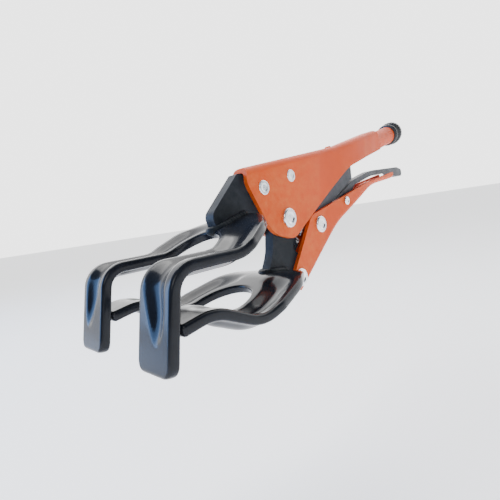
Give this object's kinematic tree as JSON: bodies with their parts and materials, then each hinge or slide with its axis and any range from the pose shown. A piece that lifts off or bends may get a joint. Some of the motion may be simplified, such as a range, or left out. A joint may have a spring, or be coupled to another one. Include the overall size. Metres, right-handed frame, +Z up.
{
  "type": "locking pliers",
  "caption": "Locking pliers with U-shaped fork jaws welded to neck plates, folded sheet handles, an over-centre toggle link, a release lever and an adjusting screw with a knob.",
  "frame": {"origin": "on the surface the tool stands on, under the middle of its overall box, standing locked on the tips of the upper fork's legs and the front end of the lower handle", "axes": "+X from the jaws to the knob, +Y to the far side, +Z up"},
  "size_m": [0.2878, 0.072, 0.1147],
  "materials": {
    "orange_paint": "satin",
    "black_paint": "gloss",
    "plate_black": "matte",
    "weld_black": "matte",
    "rivet_zinc": "satin",
    "dark_steel": "satin",
    "screw_steel": "satin",
    "knob_black": "satin",
    "spring_steel": "satin"
  },
  "bodies": {
    "upper_jaw": {"upper_handle": "orange_paint", "upper_jaw_plate": "plate_black", "upper_fork": "black_paint", "upper_jaw_weld": "weld_black", "front_jaw_rivet": "rivet_zinc", "rear_jaw_rivet": "rivet_zinc", "jaw_pivot_rivet": "rivet_zinc", "return_spring": "spring_steel"},
    "lower_jaw": {"lower_jaw_plate": "plate_black", "lower_fork": "black_paint", "lower_jaw_weld": "weld_black"},
    "handle": {"lower_handle": "orange_paint", "handle_pivot_rivet": "rivet_zinc", "link_pivot_rivet": "rivet_zinc", "lever_pivot_rivet": "rivet_zinc"},
    "link": {"toggle_link": "dark_steel"},
    "lever": {"release_lever": "dark_steel"},
    "screw": {"adjusting_screw": "screw_steel"},
    "knob": {"screw_knob": "knob_black"}
  },
  "joints": [
    {"name": "jaw_pivot", "type": "hinge", "parent": "upper_jaw", "child": "lower_jaw", "pos_m": [-0.03541, 0, 0.04408], "axis": [0, -1, 0], "range_deg": [0, 22], "deforming": ["return_spring"]},
    {"name": "handle_pivot", "type": "hinge", "parent": "lower_jaw", "child": "handle", "pos_m": [-0.03182, 0, 0.00852], "axis": [0, -1, 0], "range_deg": [-61.3, 0]},
    {"name": "link_pivot", "type": "hinge", "parent": "handle", "child": "link", "pos_m": [-0.00423, 0, 0.03685], "axis": [0, -1, 0], "range_deg": [0, 72.8]},
    {"name": "lever_pivot", "type": "hinge", "parent": "handle", "child": "lever", "pos_m": [0.03018, 0, 0.04939], "axis": [0, -1, 0], "range_deg": [-1.8, 0]},
    {"name": "screw_travel", "type": "slide", "parent": "upper_jaw", "child": "screw", "axis": [0.9702, 0, 0.2425], "range_m": [0, 0.0075]},
    {"name": "knob_turn", "type": "hinge", "parent": "screw", "child": "knob", "pos_m": [0.12588, 0, 0.10193], "axis": [0.9702, 0, 0.2425], "range_deg": [0, 2165]}
  ],
  "couplings": [
    {"joint": "handle_pivot", "follows": "jaw_pivot", "ratio": -2.78},
    {"joint": "link_pivot", "follows": "jaw_pivot", "ratio": 3.3},
    {"joint": "knob_turn", "follows": "screw_travel", "rad_per_m": 5026.5}
  ]
}
